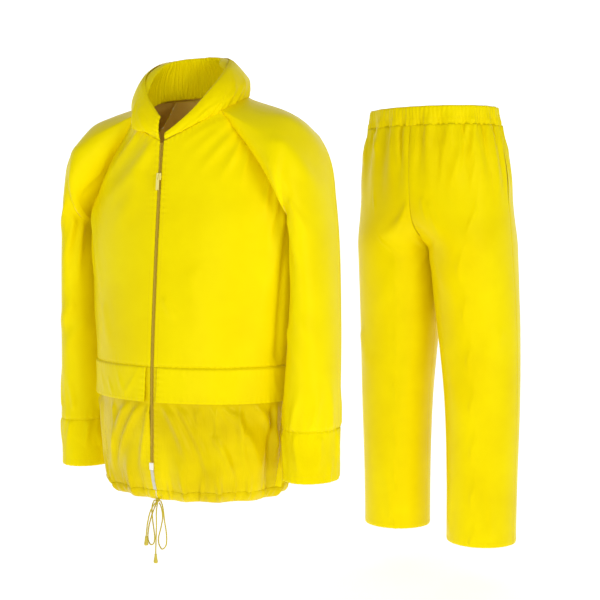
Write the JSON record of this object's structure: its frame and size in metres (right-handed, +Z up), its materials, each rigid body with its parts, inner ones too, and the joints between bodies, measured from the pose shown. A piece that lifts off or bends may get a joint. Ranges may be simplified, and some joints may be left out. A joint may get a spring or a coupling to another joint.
{
  "type": "rain suit",
  "caption": "Two-piece coated rain suit, filled out as worn: a zipped raglan jacket with a hood packed in its collar, and elasticated over-trousers.",
  "frame": {"origin": "middle of the jacket's neck opening, level with the sides of the neck, where the wearer's shoulders carry it", "axes": "+Z up as worn; -Y towards the picture's viewer; +X to the viewer's right, from the jacket towards the trousers. Each garment's front is turned towards -X from -Y, the jacket by 28 degrees and the trousers by 34"},
  "size_m": [1.0271, 0.9413, 1.0903],
  "materials": {
    "coated_cloth": "satin, coated",
    "zip_tape": "matte, woven",
    "zip_teeth": "matte",
    "clear_film": "milky",
    "painted_slider": "satin",
    "round_cord": "matte, braided",
    "cord_bell": "satin"
  },
  "bodies": {
    "suit": {"back": "coated_cloth", "collar": "coated_cloth", "cord_bell_left": "cord_bell", "cord_bell_right": "cord_bell", "cord_end_left": "round_cord", "cord_end_right": "round_cord", "cord_knot": "round_cord", "cord_loop_left": "round_cord", "cord_loop_right": "round_cord", "cuff_left": "coated_cloth", "cuff_right": "coated_cloth", "flap_left": "coated_cloth", "flap_right": "coated_cloth", "front_lower_left": "coated_cloth", "front_lower_right": "coated_cloth", "front_upper_left": "coated_cloth", "front_upper_right": "coated_cloth", "hem_tunnel": "coated_cloth", "hood_roll": "coated_cloth", "leg_back_left": "coated_cloth", "leg_back_right": "coated_cloth", "leg_front_left": "coated_cloth", "leg_front_right": "coated_cloth", "sleeve_left": "coated_cloth", "sleeve_right": "coated_cloth", "waistband": "coated_cloth", "zip_box": "clear_film", "zip_chain": "zip_teeth", "zip_film": "clear_film", "zip_row_left": "zip_teeth", "zip_row_right": "zip_teeth", "zip_slider": "painted_slider", "zip_tape_left": "zip_tape", "zip_tape_right": "zip_tape"},
    "pull": {"zip_pull": "painted_slider"}
  },
  "joints": [
    {"name": "pull_hinge", "type": "hinge", "parent": "suit", "child": "pull", "pos_m": [-0.06124, -0.11518, -0.15132], "axis": [-0.8829, 0.4695, 0], "range_deg": [0, 150]}
  ]
}
